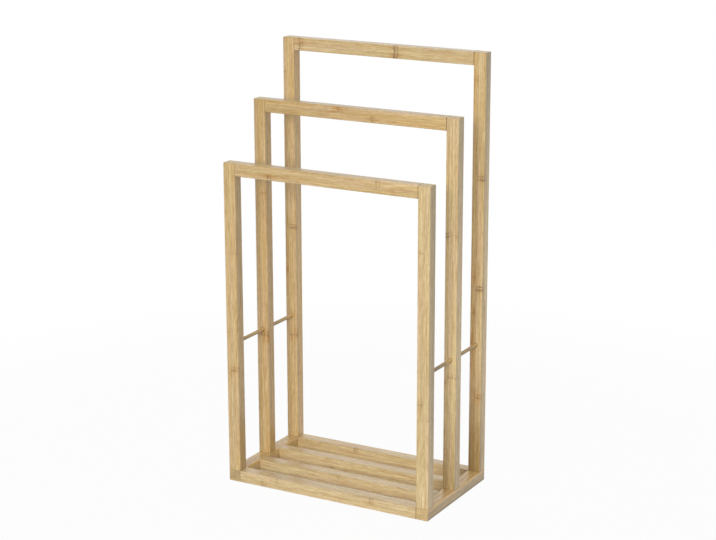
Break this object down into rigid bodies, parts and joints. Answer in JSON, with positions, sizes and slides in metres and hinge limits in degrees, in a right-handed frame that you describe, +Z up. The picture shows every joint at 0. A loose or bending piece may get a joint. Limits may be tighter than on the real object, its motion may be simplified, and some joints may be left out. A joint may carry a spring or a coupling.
{
  "type": "towel rack",
  "caption": "Free-standing bamboo towel rack with stepped towel frames on a slatted base, tied at the sides by thin round rods.",
  "frame": {"origin": "on the floor, under the middle of the rack", "axes": "+X to the right along the towel bars, +Y from the low front frame to the tall rear frame, +Z up"},
  "size_m": [0.42, 0.234, 0.812],
  "materials": {
    "frame_bamboo": "satin clear lacquer",
    "base_bamboo": "satin clear lacquer",
    "rod_bamboo": "satin clear lacquer",
    "dowel_wood": "bare",
    "bolt_steel": "zinc plated",
    "insert_brass": "turned"
  },
  "bodies": {
    "root": {"base_front_rail": "base_bamboo", "base_front_rail_dowels": "dowel_wood", "base_front_slat": "base_bamboo", "base_front_slat_dowels": "dowel_wood", "base_rear_rail": "base_bamboo", "base_rear_rail_dowels": "dowel_wood", "base_rear_slat": "base_bamboo", "base_rear_slat_dowels": "dowel_wood", "base_side_rail_left": "base_bamboo", "base_side_rail_right": "base_bamboo", "front_bar_dowels": "dowel_wood", "front_post_bolts": "bolt_steel", "front_post_inserts": "insert_brass", "front_post_left": "frame_bamboo", "front_post_right": "frame_bamboo", "front_spacer_rod_left": "rod_bamboo", "front_spacer_rod_right": "rod_bamboo", "front_towel_bar": "frame_bamboo", "middle_bar_dowels": "dowel_wood", "middle_post_bolts": "bolt_steel", "middle_post_inserts": "insert_brass", "middle_post_left": "frame_bamboo", "middle_post_right": "frame_bamboo", "middle_towel_bar": "frame_bamboo", "rear_bar_dowels": "dowel_wood", "rear_post_bolts": "bolt_steel", "rear_post_inserts": "insert_brass", "rear_post_left": "frame_bamboo", "rear_post_right": "frame_bamboo", "rear_spacer_rod_left": "rod_bamboo", "rear_spacer_rod_right": "rod_bamboo", "rear_towel_bar": "frame_bamboo"}
  },
  "joints": []
}
